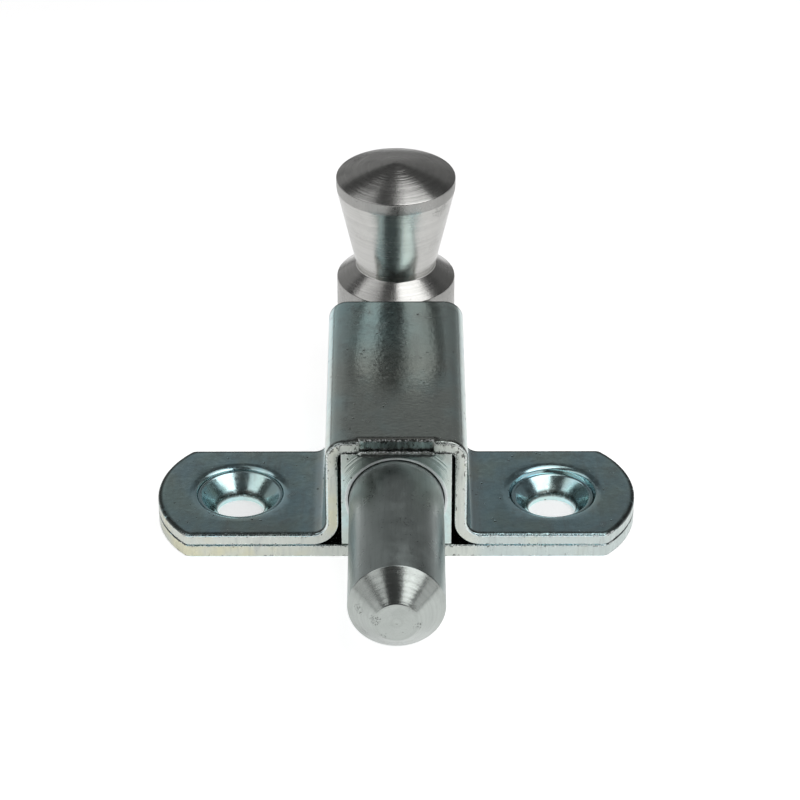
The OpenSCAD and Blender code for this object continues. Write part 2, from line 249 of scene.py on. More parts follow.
def sizes():
    """Every length of the sheets and bars in millimetres, with the places that follow from them."""
    s = SimpleNamespace(**values_of("door_bolt_sheet"), **values_of("door_bolt_bar"))
    for key, value in vars(s).items():
        setattr(s, key, value if isinstance(value, int) else round(value * 1000, 4))
    s.front_y = -s.flange_d / 2
    s.rear_y = s.front_y + s.housing_l
    s.shoulder_y = s.front_y + s.base_t + s.shoulder_inset
    s.rear_plate_y = s.rear_y - s.base_t
    s.knob_y = s.rear_y + s.knob_gap + s.knob_d / 2
    s.tip_y = s.front_y - s.bolt_reach
    s.stem_end_y = s.knob_y - s.knob_d / 2 + s.stem_seat_l - s.stem_end_clear
    s.flange_z = s.base_t + s.seam
    s.flange_top = s.flange_z + s.sheet_t
    s.housing_half = s.channel_w / 2 + s.sheet_t
    s.roof_top = s.roof_in + s.sheet_t
    s.flange_end_x = s.flange_span / 2 - s.flange_end_r
    s.corner_y = s.flange_d / 2 - s.corner_r
    s.corner_x = s.flange_end_x + math.sqrt((s.flange_end_r - s.corner_r) ** 2 - s.corner_y**2)
    s.hole_x = s.hole_spacing / 2
    s.collar_top = s.flange_top - s.collar_drop
    s.collar_in_r = s.hole_d / 2 + s.collar_top - s.throat_l
    s.collar_out_r = s.collar_in_r + s.collar_wall
    s.collar_foot_r = s.collar_out_r - (s.collar_top - s.base_t)
    s.flange_hole_r = s.collar_out_r + s.collar_clear
    s.fold_half = s.end_plate_w / 2 - s.corner_w - s.relief_w
    s.barrel_top = 2 * s.bolt_z - s.foot_gap
    s.neck_z = s.barrel_top + s.collar_cone_h
    s.land_z = s.neck_z + s.taper_h
    s.rim_z = s.land_z + s.land_h
    s.knob_top = s.rim_z + s.crown_h
    return s


class Shell:
    """Gathers grids of points, in millimetres, and welds them into one closed mesh.
    A grid p[i, j] is a surface of two parameters, and its outside is the way that di x dj points."""

    def __init__(self):
        self.points, self.quads, self.marks, self.wear = [], [], [], []
        self.upper, self.under = [], []  # numbers of the points on the two faces of the sheets, in pairs
        self.count = 0

    def grid(self, p, keep=None, mark=0, flip=False, edge=FAR, across=0.5):
        """Adds a grid of points. keep[i, j] says which cells stay. edge is the distance in from the sheared edge and
        across goes from 0 to 1 through the sheet: both are kept for the materials."""
        n, m = p.shape[:2]
        quads = cells(n, m) + self.count
        quads = quads.reshape(-1, 4) if keep is None else quads[keep]
        self.points.append(p.reshape(-1, 3))
        self.quads.append(quads[:, ::-1] if flip else quads)
        self.marks.append(np.full(len(quads), mark))
        self.wear.append(np.stack(np.broadcast_arrays(edge, across, p[..., 0])[:2], -1).reshape(-1, 2))
        self.count += n * m
        return np.arange(self.count - n * m, self.count)

    def turned(self, p, marks):
        """Adds a turned surface whose rows have marks of their own."""
        for mark in np.unique(marks):
            self.grid(p, np.broadcast_to(marks[None, :] == mark, (len(p) - 1, len(marks))), mark)

    def sheet(self, top, below, keep=None, flip=False, depth=None, roll=(0, 0)):
        """Adds both faces of a sheet. Its open edges get a rim when the shell is finished. Where depth, the distance in
        from the sheared edge, is less than a face's roll, that face curves in along a quarter circle."""
        if depth is not None:
            inward = (below - top) / np.linalg.norm(below - top, axis=-1, keepdims=True)
            top, below = top + inward * rolled(depth, roll[0]), below - inward * rolled(depth, roll[1])
        edge = FAR if depth is None else depth
        self.upper.append(self.grid(top, keep, 0, flip, edge, 1.0))
        self.under.append(self.grid(below, keep, 0, not flip, edge, 0.0))

    def mesh(self, name):
        """Welds the points, closes the sheets' open edges with rims, and checks that no edge is left open."""
        points = np.concatenate(self.points)
        cell = np.floor(points / WELD + 0.37).astype(np.int64)  # moved, so that round numbers lie inside a cell
        _, first, place = np.unique(cell, axis=0, return_index=True, return_inverse=True)
        place = place.ravel()
        quads, marks = place[np.concatenate(self.quads)], np.concatenate(self.marks)
        if self.upper:
            partner = np.full(len(first), -1)
            partner[place[np.concatenate(self.upper)]] = place[np.concatenate(self.under)]
            a, b = open_edges(quads, len(first))
            on_top = (partner[a] >= 0) & (partner[b] >= 0)
            a, b = a[on_top], b[on_top]
            quads = np.concatenate([quads, np.stack([b, a, partner[a], partner[b]], 1)])
            marks = np.concatenate([marks, np.ones(len(a), int)])
        if len(open_edges(quads, len(first))[0]):
            raise RuntimeError(f"{name}: the welded surface has open edges")
        same = quads == np.roll(quads, -1, 1)
        whole, three = ~same.any(1), same.sum(1) == 1
        tris = quads[three][~same[three]].reshape(-1, 3)
        mesh = bpy.data.meshes.new(name)
        mesh.from_pydata((points[first] / 1000).tolist(), [], quads[whole].tolist() + tris.tolist())
        mesh.polygons.foreach_set("material_index", np.concatenate([marks[whole], marks[three]]).astype(np.int32))
        mesh.polygons.foreach_set("use_smooth", np.ones(len(mesh.polygons), bool))
        wear = np.concatenate(self.wear)[first].astype(np.float32)
        for column, kept in enumerate(("edge", "across")):
            mesh.attributes.new(kept, "FLOAT", "POINT").data.foreach_set("value", wear[:, column])
        mesh.validate()
        mesh.update()
        return mesh


def spread(*parts):
    """Points with these coordinates, arrays or numbers that stretch to one shape."""
    return np.stack(np.broadcast_arrays(*parts), -1)


def cells(n, m):
    """The quads of a grid of n by m points, as [i, j, corner]."""
    index = np.arange(n * m).reshape(n, m)
    return np.stack([index[:-1, :-1], index[1:, :-1], index[1:, 1:], index[:-1, 1:]], -1)


def open_edges(quads, count):
    """The edges of the quads that no other quad uses the other way round, as two arrays of points."""
    a, b = quads.ravel(), np.roll(quads, -1, 1).ravel()
    real = a != b
    a, b = a[real], b[real]
    lone = ~np.isin(a * count + b, b * count + a)
    return a[lone], b[lone]


def rolled(depth, r):
    """How far a face has curved in at a depth from its edge: r - sqrt(r^2 - (r - depth)^2)."""
    return (r - np.sqrt(np.maximum(r**2 - np.maximum(r - depth, 0) ** 2, 0)))[..., None]


def offsets(r, steps=4):
    """Distances from an edge that cut a quarter circle of radius r into even arcs."""
    return r * (1 - np.cos(np.linspace(0, math.pi / 2, steps + 1)))


def lines(*parts):
    """Sorted places of grid lines, from numbers and arrays, each place once."""
    return np.unique(np.round(np.concatenate([np.atleast_1d(p).astype(float) for p in parts]), 6))


def fan(half):
    """Grid lines across a square of this half width that cut the circle inside it into even arcs: half times the
    tangent of even angles."""
    return half * np.tan(np.linspace(-math.pi / 4, math.pi / 4, HOLE_CELLS + 1))


def rays(xs, zs, centre):
    """The edge points of a rectangle that these lines cut, once round anticlockwise, with unit rays from the centre."""
    low, right, high, left = spread(xs, zs[0]), spread(xs[-1], zs), spread(xs, zs[-1]), spread(xs[0], zs)
    edge = np.concatenate([low, right[1:], high[-2::-1], left[-2::-1]])
    ray = edge - centre
    return edge, ray / np.linalg.norm(ray, axis=1, keepdims=True)


def ring(edge, ray, centre, radius, steps=2):
    """Points in straight lines from a rectangle's edge in to a circle."""
    t = np.linspace(0, 1, steps + 1)[None, :, None]
    return edge[:, None] * (1 - t) + (np.asarray(centre) + radius * ray)[:, None] * t


def arc(cx, cy, r, a0, a1, steps):
    """Points of an arc, from angle a0 to a1 in degrees."""
    a = np.radians(np.linspace(a0, a1, steps + 1))
    return spread(cx + r * np.cos(a), cy + r * np.sin(a))


def rounded(profile, radii, steps=3):
    """A profile whose corners are cut by arcs: each corner is replaced by a curve between two points at its radius
    along both sides, weighted (1-t)^2, 2t(1-t) and t^2."""
    profile = np.asarray(profile, float)
    out = [profile[:1]]
    for before, corner, after, r in zip(profile, profile[1:], profile[2:], radii):
        a = corner + (before - corner) * (r / np.linalg.norm(before - corner))
        b = corner + (after - corner) * (r / np.linalg.norm(after - corner))
        t = np.linspace(0, 1, steps + 1)[:, None]
        out.append((1 - t) ** 2 * a + 2 * t * (1 - t) * corner + t**2 * b if r > 0 else corner[None])
    return np.concatenate(out + [profile[-1:]])


def flat(xy, z):
    """Plan points at one height."""
    return spread(xy[..., 0], xy[..., 1], z)


def carried(profile, ys):
    """A profile in X and Z carried along Y."""
    return spread(profile[:, :1], ys, profile[:, 1:])


def middles(values):
    """The middle of each cell between grid lines."""
    return (values[:-1] + values[1:]) / 2


def flange_end(ys, s, inset=0.0):
    """How far a flange reaches at each Y: the end arc, with a small fillet where it meets the long edges. With an
    inset, the same for the outline drawn in by it."""
    r, rc = s.flange_end_r - inset, s.corner_r - inset
    y = np.minimum(np.abs(ys), s.corner_y + rc)
    big = s.flange_end_x + np.sqrt(np.maximum(r**2 - y**2, 0))
    small = s.corner_x + np.sqrt(np.maximum(rc**2 - (y - s.corner_y) ** 2, 0))
    return np.where(y > s.corner_y * r / (r - rc), small, big)


def flange_depth(x, y, s):
    """Distance in from the outline of the flanges."""
    x, y = np.abs(x), np.abs(y)
    px, py = x - s.corner_x, y - s.corner_y
    in_corner = (px > 0) & ((s.corner_x - s.flange_end_x) * py > s.corner_y * px)
    in_arc = s.flange_end_r - np.hypot(np.maximum(x - s.flange_end_x, 0), y)
    return np.where(in_corner, s.corner_r - np.hypot(px, py), np.minimum(s.flange_d / 2 - y, in_arc))


def flange_lines(s):
    """Grid lines along Y over the flanges, and the half width of the square around a screw hole."""
    half = s.flange_d / 2
    block = s.flange_hole_r + s.hole_edge_w + HOLE_MARGIN
    touch = s.corner_y * s.flange_end_r / (s.flange_end_r - s.corner_r)
    outer = lines(np.linspace(block, half - s.edge_r, 4)[1:], touch, half - offsets(s.edge_r))
    return lines(-outer, fan(block), outer), block


def add_flange(shell, side, ys, block, top_z, low_z, x0, hole_rows, top_roll, s):
    """One flange from x0 out to its end: a level strip, the square with its hole, and the end arc. Its lines draw in
    beside the square, to end where the outline's corner begins. hole_rows are the radius and height of the wall of
    the hole from the upper face to the lower one, and top_roll the radius on the upper edge."""
    hole, left, right = s.hole_x, s.hole_x - block, s.hole_x + block
    roll = (top_roll, s.burr_r)
    turn, flip = np.array([side, 1, 1]), side < 0
    xs = lines(x0, hole + fan(block))
    yc, xc = middles(ys), middles(xs)
    free = (xc[:, None] < left) | (np.abs(yc)[None, :] > block)
    draw = (right - s.corner_x + END_DRAW) * np.clip((np.abs(ys) - block) / (s.flange_d / 2 - block), 0, 1)
    x = xs[:, None] - np.maximum(xs[:, None] - hole, 0) / block * draw[None, :]
    y = np.broadcast_to(ys[None, :], x.shape)
    shell.sheet(spread(x, y, top_z) * turn, spread(x, y, low_z) * turn, free, flip, flange_depth(x, y, s), roll)
    square = lines(fan(block))
    edge, ray = rays(hole + square, square, np.array([hole, 0.0]))
    shell.sheet(
        flat(ring(edge, ray, (hole, 0), hole_rows[0][0]), top_z) * turn,
        flat(ring(edge, ray, (hole, 0), hole_rows[-1][0]), low_z) * turn,
        None, flip,
    )
    rows = np.asarray(hole_rows, float)
    wall = spread(hole + ray[:, :1] * rows[:, 0], ray[:, 1:] * rows[:, 0], rows[:, 1])
    shell.grid(wall * turn, None, 0, flip)
    ends = np.array([flange_end(ys, s, inset) for inset in offsets(s.edge_r)[::-1]])
    t = np.linspace(0, 1, 6)[:-1, None]
    x = np.concatenate([right - draw + t * (ends[0] - right + draw), ends])
    y = np.broadcast_to(ys[None, :], x.shape)
    shell.sheet(spread(x, y, top_z) * turn, spread(x, y, low_z) * turn, None, flip, flange_depth(x, y, s), roll)


def finish_mesh(name, shell, materials, body, node, sharp=30):
    """Makes the object, splits the shading at edges sharper than so many degrees, and says what it stands for."""
    mesh = shell.mesh(name)
    obj = bpy.data.objects.new(name, mesh)
    bpy.context.scene.collection.objects.link(obj)
    for material in materials:
        mesh.materials.append(material)
    mesh.set_sharp_from_angle(angle=math.radians(sharp))
    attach(obj, body)
    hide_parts(node)
    return obj


def toned(color, share):
    """A colour made darker or brighter."""
    return tuple(v * share for v in color)


class Nodes:
    """A node tree under construction: short calls that add nodes and join them."""

    def __init__(self, tree, coordinate):
        self.tree = tree
        self.place = self.add("ShaderNodeTexCoord").outputs[coordinate]

    @classmethod
    def material(cls, name):
        """A new material with these nodes."""
        made = bpy.data.materials.new(name)
        made.use_nodes = True
        nodes = cls(made.node_tree, "Object")
        nodes.made = made
        nodes.shader = made.node_tree.nodes["Principled BSDF"]
        return nodes

    def surface(self, socket):
        """Puts another shader in the place of the usual one."""
        self.put(self.tree.nodes["Material Output"].inputs["Surface"], socket)
        self.tree.nodes.remove(self.shader)

    def add(self, kind, inputs=(), **settings):
        """Adds a node, with its settings, and its inputs as values or sockets to join."""
        node = self.tree.nodes.new(kind)
        for key, value in settings.items():
            setattr(node, key, value)
        for key, value in dict(inputs).items():
            self.put(node.inputs[key], value)
        return node

    def put(self, socket, value):
        """Joins a socket to an input, or sets the input's own value, one number or several."""
        if isinstance(value, bpy.types.NodeSocket):
            self.tree.links.new(value, socket)
        elif hasattr(socket.default_value, "__len__") and not hasattr(value, "__len__"):
            socket.default_value = [value] * len(socket.default_value)
        elif hasattr(value, "__len__") and len(value) == 3 and len(socket.default_value) == 4:
            socket.default_value = (*value, 1)
        else:
            socket.default_value = value

    def math(self, operation, values):
        """Folds the values together, two at a time."""
        result = values[0]
        for value in values[1:]:
            result = self.add("ShaderNodeMath", {0: result, 1: value}, operation=operation).outputs[0]
        return result

    def times(self, *values):
        """The product of the values."""
        return self.math("MULTIPLY", values)

    def plus(self, *values):
        """The sum of the values."""
        return self.math("ADD", values)

    def less(self, *values):
        """The first value less the others."""
        return self.math("SUBTRACT", values)

    def most(self, *values):
        """The largest of the values."""
        return self.math("MAXIMUM", values)

    def size(self, value):
        """The value without its sign."""
        return self.math("ABSOLUTE", (value, 0.0))

    def vector(self, operation, *values, out=0):
        """One step of vector arithmetic."""
        return self.add("ShaderNodeVectorMath", dict(enumerate(values)), operation=operation).outputs[out]

    def span(self, vector):
        """The length of a vector."""
        return self.vector("LENGTH", vector, out="Value")

    def dot(self, a, b):
        """How far vector a goes along vector b, times the length of b."""
        return self.vector("DOT_PRODUCT", a, b, out="Value")

    def joined(self, *values):
        """A vector from up to three numbers."""
        return self.add("ShaderNodeCombineXYZ", dict(enumerate(values))).outputs[0]

    def apart(self, vector):
        """The X, Y and Z of a vector."""
        return self.add("ShaderNodeSeparateXYZ", {0: vector}).outputs

    def mm(self, at=(0, 0, 0)):
        """Object coordinates in mm, counted from a place."""
        return self.vector("SUBTRACT", self.vector("MULTIPLY", self.place, (1000, 1000, 1000)), at)

    def mapped(self, scale=(1, 1, 1), at=(0, 0, 0), turn=(0, 0, 0)):
        """Object coordinates counted from a place in mm, turned, and stretched."""
        moved = self.vector("ADD", self.place, tuple(-v / 1000 for v in at))
        return self.add("ShaderNodeMapping", {"Vector": moved, "Scale": scale, "Rotation": turn}).outputs[0]

    def read(self, name):
        """A number kept at the points of the mesh."""
        return self.add("ShaderNodeAttribute", attribute_name=name).outputs["Fac"]

    def noise(self, scale, detail, vector=None, rough=0.55):
        """Cloudy noise from 0 to 1, its scale in clouds per metre."""
        return self.add("ShaderNodeTexNoise", {
            "Vector": self.place if vector is None else vector, "Scale": scale, "Detail": detail, "Roughness": rough,
        }).outputs[0]

    def cells(self, scale):
        """Distance to scattered points, their number per metre."""
        return self.add("ShaderNodeTexVoronoi", {"Vector": self.place, "Scale": scale}).outputs["Distance"]

    def step(self, value, low, high, out_low=0.0, out_high=1.0):
        """Maps low..high smoothly to out_low..out_high."""
        return self.add("ShaderNodeMapRange", {
            "Value": value, "From Min": low, "From Max": high, "To Min": out_low, "To Max": out_high,
        }, interpolation_type="SMOOTHSTEP").outputs[0]

    def mix(self, share, a, b):
        """Colour a where share is 0, b where it is 1."""
        return self.add("ShaderNodeMix", {0: share, 6: a, 7: b}, data_type="RGBA").outputs[2]

    def bump(self, height, size, normal=None):
        """Raises the surface by height times size, in mm."""
        inputs = {"Height": height, "Distance": size / 1000, "Strength": 1}
        if normal is not None:
            inputs["Normal"] = normal
        return self.add("ShaderNodeBump", inputs).outputs[0]

    def metal(self, color, rough, normal):
        """Sets the shader to bare metal and gives the material."""
        for key, value in (("Metallic", 1), ("Base Color", color), ("Roughness", rough), ("Normal", normal)):
            self.put(self.shader.inputs[key], value)
        return self.made


def zinc_plate(f):
    """Bright zinc on sheet steel: bluer on the flanges and at the rear, dull handled patches, fine scratches, orange
    peel, small pits, a dark line along the sheared edges, painted shade in the corner of the screw holes and on the
    front face under the roof, rings that a tool left around the bolt, and a burr and chips painted pale as highlights.
    Its masks are in mm and its noises in clouds per metre."""
    p, s = Nodes.material("zinc_plate_look"), sizes()
    x, y, z = p.apart(p.mm())
    edge, aside, front = p.read("edge"), p.size(x), s.front_y
    on_roof = p.step(aside, 8, 9.5, 1, 0)
    on_front = p.step(y, front + 0.1, front + 0.3, 1, 0)

    cloud = p.noise(140, 4, p.mapped((1, 0.6, 1), (3, 7, 0)))
    mottle = p.noise(1500, 5, rough=0.65)
    smear = p.noise(1, 4, p.mapped((900, 120, 500), (1, 2, 3)))
    fleck = p.noise(2600, 4, p.mapped((1, 0.7, 1), (2, 5, 1)), 0.7)
    dull = p.step(p.noise(420, 6, rough=0.7), 0.5, 0.72)
    scratch = p.noise(1, 2, p.mapped((500, 9000, 500), turn=(0, 0, 0.25)))
    scratch = p.times(p.step(scratch, 0.64, 0.72), on_roof)
    pits = p.times(p.step(p.cells(800), 0.09, 0.15, 1, 0), p.step(p.noise(230, 2), 0.47, 0.53))

    # a dark line along the sheared edges, in broken stretches, and painted shade in the corner at the foot of each
    # screw seat
    stretch = p.plus(p.times(fleck, 0.4), p.times(p.noise(700, 2), 0.6))
    line = p.times(p.step(edge, 0.3, 0.7, 1, 0), p.step(stretch, 0.34, 0.45), p.step(y, front + 0.1, front + 0.2))
    radius, bore = p.span(p.joined(p.less(aside, s.hole_x), y)), s.hole_d / 2
    # painted shade in the corner where each seat's cone meets its throat, broken up by specks
    corner = p.step(radius, bore + 0.2, bore + 0.6, 1, 0)
    corner = p.times(corner, p.step(z, 0.4, 0.8), p.step(fleck, 0.3, 0.5, 0.4, 1))
    cone = p.step(radius, 5.2, 5.6, 1, 0)
    dark_marks = p.most(pits, line, corner)

    # rings around the bolt; a burr around it and chips on the front edges, bare metal painted pale as highlights
    around, mouth = p.span(p.joined(x, p.less(z, s.bolt_z))), s.bolt_d / 2 + s.bore_clear
    rings = p.times(p.noise(1, 2, p.joined(p.times(around, 2.9))), on_front)
    burr = p.times(p.step(around, mouth + 0.2, mouth + 0.5, 1, 0), p.step(y, front + 0.2, front + 0.3, 1, 0))
    chips = p.times(p.step(edge, 0.04, 0.14, 0.7, 0), p.step(p.noise(4200, 3), 0.46, 0.6))
    burr = p.most(burr, p.times(chips, p.step(y, front + 1, front + 1.2, 1, 0)))

    # blue on the flanges and at the roof's rear, more to the left; tarnish, dull patches, and painted shade on the
    # front face under the roof, deepening upwards and strongest in the middle
    blue = p.times(p.step(y, 6, 18), p.step(x, -4, 4, 0.8, 0.3))
    blue = p.times(p.most(p.step(aside, 9, 12), blue), p.step(cloud, 0.3, 0.55, 0.6, 1))
    tarnish = p.step(p.noise(200, 3, p.mapped((1, 0.8, 1), (9, 4, 2))), 0.35, 0.65)
    # painted shade under the roof, on the front face above the bolt
    darkening = p.times(on_front, p.step(z, 10.5, 15.5, 0, 0.4), p.step(aside, 2, 5, 1.5, 0.85))
    color = p.mix(p.most(blue, p.step(cloud, 0.45, 0.75, 0, 0.5)), f.zinc, f.zinc_blue)
    color = p.mix(p.step(on_roof, 0, 1, 0.35, 0), color, p.mix(tarnish, f.zinc_olive, f.zinc_sky))
    color = p.mix(p.times(dull, 0.4), color, f.zinc_worn)
    color = p.mix(p.step(smear, 0.5, 0.75, 0, 0.35), color, f.zinc_worn)
    # pits, the dark line, the seats' painted shade and the painted shade under the roof, all in the grime colour
    color = p.mix(p.most(p.times(dark_marks, 0.9), darkening), color, f.grime)
    # burr and chips painted pale as highlights
    color = p.mix(burr, color, f.burr)

    rough = p.step(mottle, 0.3, 0.7, f.zinc_gloss - 0.05, f.zinc_gloss + 0.06)
    for mask, more in ((dull, 0.1), (scratch, 0.07), (dark_marks, 0.15), (cone, 0.02), (burr, 0.4)):
        rough = p.plus(rough, p.times(mask, more))
    peel = p.times(p.noise(2000, 4), p.step(on_roof, 0, 1, 0.15, 1), p.step(y, -4, 8, 0.5, 1))
    normal = None
    for height, rise in ((peel, 0.023), (p.noise(420, 3), 0.012), (rings, 0.05), (scratch, -0.0015), (pits, -0.03)):
        normal = p.bump(height, rise, normal)
    return p.metal(color, rough, normal)


def zinc_cut(f):
    """Sheared edge of plated sheet: pale, with streaks across the sheet, yellow in patches at the lower left and blue
    at the right, grime along its two borders with burrs painted pale as glints, more grime near the roof, and a
    bluish band under the notch, darkened by painted shade."""
    p, s = Nodes.material("zinc_cut_look"), sizes()
    x, _, z = p.apart(p.mm())
    aside, half = p.size(x), s.notch_w / 2
    streak = p.noise(1, 4, p.mapped((2600, 2600, 260)))
    fleck = p.noise(2300, 5, p.mapped((1, 1, 0.6)), 0.7)
    border = p.step(p.size(p.less(p.read("across"), 0.5)), 0.3, 0.5)
    band = p.times(p.step(aside, half, half - 0.3), p.step(z, s.roof_in - 0.2, s.roof_in))
    limit = p.less(0.655, p.plus(p.times(border, 0.12), p.times(p.step(z, 11, 17), 0.115)))
    dark_marks = p.step(p.less(fleck, limit), 0, 0.05)
    # burrs along the two borders, painted pale as glints
    burr = p.times(border, p.step(p.noise(4200, 2, p.mapped(at=(4, 0, 2))), 0.62, 0.68))

    patches = p.step(p.noise(150, 2, p.mapped(at=(5, 0, 0))), 0.4, 0.62, 0.12, 0.75)
    golden = p.times(p.step(z, 1.6, 1.9, 1, 0), p.step(x, -12, -9, 1, 0), patches)
    golden = p.most(p.step(p.noise(160, 3), 0.55, 0.75, 0, 0.7), golden)
    # painted shade in the band under the notch: streaked, and darkest in its middle
    shade = p.times(p.step(streak, 0.35, 0.65, 0.42, 0.75), p.step(aside, 1, 3.5, 1.04, 0.68))
    color = p.mix(golden, f.zinc_cut, f.zinc_gold)
    for share, over in (
        (p.times(p.step(z, 4, 6, 1, 0), p.step(x, 9, 12, 0, 0.45)), f.cut_blue),
        (p.step(streak, 0.5, 0.8, 0, 0.6), f.zinc_worn),
        (p.times(band, 0.8), f.brow_blue),
        (p.times(band, shade), f.grime),
        (p.times(dark_marks, 0.85), f.grime),
        (burr, f.cut_burr),
    ):
        color = p.mix(share, color, over)
    normal = p.bump(p.noise(1500, 4), 0.02, p.bump(streak, 0.02))
    return p.metal(color, p.step(streak, 0.3, 0.7, 0.26, 0.42), normal)


def drawn_steel(name, color, gloss, f, grain_scale):
    """Drawn bar: dull grey with fine lines along its axis, soft patches and small handling marks. grain_scale gives
    the lines per metre along X, Y and Z."""
    p = Nodes.material(name)
    along = p.noise(1, 4, p.mapped(grain_scale))
    patch = p.noise(330, 5, rough=0.65)
    grain = p.noise(2400, 4, rough=0.7)
    shade = p.mix(p.step(patch, 0.4, 0.7), color, toned(color, 1.12))
    shade = p.mix(p.step(along, 0.45, 0.75, 0, 0.35), shade, toned(color, 0.75))
    shade = p.mix(p.times(p.step(grain, 0.64, 0.7), 0.7), shade, f.grime)
    rough = p.plus(p.step(patch, 0.3, 0.7, gloss - 0.05, gloss + 0.07), p.step(grain, 0.3, 0.7, -0.05, 0.05))
    return p.metal(shade, rough, p.bump(grain, 0.012, p.bump(along, 0.004)))


def turned_steel(name, color, gloss, f, axis, centre, stains, wear=1.0):
    """Turned steel: tool marks as rings about its axis, finer and coarser ones mixed, with specks and small nicks.
    Each stain is a place and a radius in mm, where the specks crowd. wear deepens the marks and the blotches."""
    p = Nodes.material(name)
    local = p.mapped(at=centre)
    radius = p.span(p.vector("MULTIPLY", local, tuple(float(way != axis) for way in "XYZ")))
    wobble = p.times(p.noise(260, 2), 0.00006 * wear)
    meridian = p.vector("ADD", p.joined(radius, p.apart(local)[axis]), wobble)
    fine, coarse = p.noise(9000, 2, meridian), p.noise(2200, 3, meridian)
    patch = p.noise(300, 5, rough=0.65)
    grain, dots = p.noise(2200, 4, rough=0.7), p.noise(6500, 3, rough=0.6)
    crowd = 0.0
    for place, size in stains:
        crowd = p.most(crowd, p.step(p.span(p.mm(place)), size / 3, size, 0.16, 0))
    specks = p.most(p.step(grain, 0.69, 0.74), p.step(p.plus(dots, crowd), 0.68, 0.74))
    shade = p.mix(p.step(coarse, 0.35, 0.7, 0, 0.3), color, toned(color, 0.7))
    shade = p.mix(p.step(patch, 0.42, 0.75, 0, 0.3 * wear), shade, toned(color, 0.7))
    shade = p.mix(p.times(specks, 0.8), shade, f.grime)
    rough = p.plus(p.step(patch, 0.3, 0.7, gloss - 0.03, gloss + 0.05), p.step(fine, 0.3, 0.7, -0.03, 0.04))
    normal = p.bump(coarse, 0.014 * wear, p.bump(fine, 0.007))
    return p.metal(shade, rough, p.bump(grain, 0.008, normal))


def wire_steel(f):
    """Spring wire: drawn lines and a dark oily film."""
    p = Nodes.material("spring_steel")
    darkening = p.noise(700, 4)
    color = p.mix(p.step(darkening, 0.4, 0.7), f.wire, toned(f.wire, 0.6))
    return p.metal(color, p.step(darkening, 0.3, 0.7, 0.25, 0.4), p.bump(p.noise(5000, 3), 0.003))


def finish():
    """The colours and gloss of the sidebar as plain values."""
    values = values_of("door_bolt_finish")
    return SimpleNamespace(**{k: tuple(v) if hasattr(v, "__len__") else v for k, v in values.items()})


def plated(f):
    """The plating of the faces and of the sheared edges, made once for both sheets."""
    return [bpy.data.materials.get(make.__name__ + "_look") or make(f) for make in (zinc_plate, zinc_cut)]


class OBJECT_OT_door_bolt_housing(bpy.types.Operator):
    """Folds the channel and its two flanges from one sheet"""

    bl_idname = "object.door_bolt_housing"
    bl_label = "Housing"

    def execute(self, context):
        s, f = sizes(), finish()
        shell = Shell()
        roll, marks = (s.edge_r, s.burr_r), offsets(s.edge_r)
        ys, block = flange_lines(s)
        half, notch, notch_y = s.flange_d / 2, s.notch_w / 2, s.front_y + s.notch_d
        ys = lines(ys, notch_y + marks)
        slit = half + s.wall_slit
        all_ys = lines(ys, slit + marks, np.linspace(slit, s.rear_y, 9), s.rear_y - marks)
        fold_x, fold_z = s.channel_w / 2 - s.roof_fold_r, s.roof_in - s.roof_fold_r
        foot_x, foot_z = s.housing_half + s.flange_fold_r, s.flange_top + s.flange_fold_r
        roof_x = lines(np.linspace(0, notch, 5), notch + marks, fold_x)
        wall_z = lines(np.linspace(foot_z, fold_z, 8)[:-1], foot_z + marks)[::-1]

        def half_section(grow, side_x):
            """The section's roof, bend and wall, mirrored to the left: grow is the way out from the inner face."""
            roof = spread(roof_x, s.roof_in + grow)
            bend = arc(fold_x, fold_z, s.roof_fold_r + grow, 90, 0, 8)[1:]
            right = np.concatenate([roof, bend, spread(side_x, wall_z)])
            return np.concatenate([right[:0:-1] * [-1, 1], right])

        outer = half_section(s.sheet_t, s.housing_half)
        inner = half_section(0, s.channel_w / 2)
        on_roof = (middles(outer[:, 1]) > s.roof_in) & (np.abs(middles(outer[:, 0])) < notch)
        keep = ~(on_roof[:, None] & (middles(all_ys) < notch_y)[None, :])
        x, z, y = np.abs(outer[:, :1]), outer[:, 1:], all_ys[None, :]
        past = y - notch_y
        from_front = np.where(x > notch, np.minimum(y - s.front_y, np.hypot(x - notch, np.maximum(past, 0))), past)
        from_slit = np.hypot(np.maximum(np.maximum(half - y, y - slit), 0), z - foot_z)
        depth = np.minimum(np.minimum(from_front, s.rear_y - y), from_slit)
        shell.sheet(carried(outer, all_ys), carried(inner, all_ys), keep, False, depth, roll)
        rear = all_ys[all_ys >= slit - 1e-6]
        foot_rows = lines(np.linspace(s.flange_z, foot_z, 4), s.flange_z + marks)[::-1]
        foot_depth = np.minimum(np.minimum(rear - slit, s.rear_y - rear)[None, :], (foot_rows - s.flange_z)[:, None])
        r, edge = s.flange_hole_r, np.radians(np.linspace(0, 90, 7))
        lip = spread(r + s.hole_edge_w * (1 - np.sin(edge)), s.flange_top - s.hole_edge_r * (1 - np.cos(edge)))
        hole_rows = [*lip, (r, s.collar_top), (r - (s.collar_top - s.flange_z), s.flange_z)]
        for side in (-1, 1):
            turn, flip = np.array([side, 1, 1]), side < 0
            foot = [spread(at, foot_rows) for at in (s.housing_half, s.channel_w / 2)]
            shell.sheet(carried(foot[0], rear) * turn, carried(foot[1], rear) * turn, None, flip, foot_depth, roll)
            bends = [arc(foot_x, foot_z, s.flange_fold_r + grow, 180, 270, 8) for grow in (0, s.sheet_t)]
            bend_depth = np.broadcast_to(half - np.abs(ys)[None, :], (9, len(ys)))
            shell.sheet(carried(bends[0], ys) * turn, carried(bends[1], ys) * turn, None, flip, bend_depth, roll)
            add_flange(shell, side, ys, block, s.flange_top, s.flange_z, foot_x, hole_rows, s.edge_r, s)
        finish_mesh("housing_sheet", shell, plated(f), "mounting", "housing", 50)
        return {"FINISHED"}


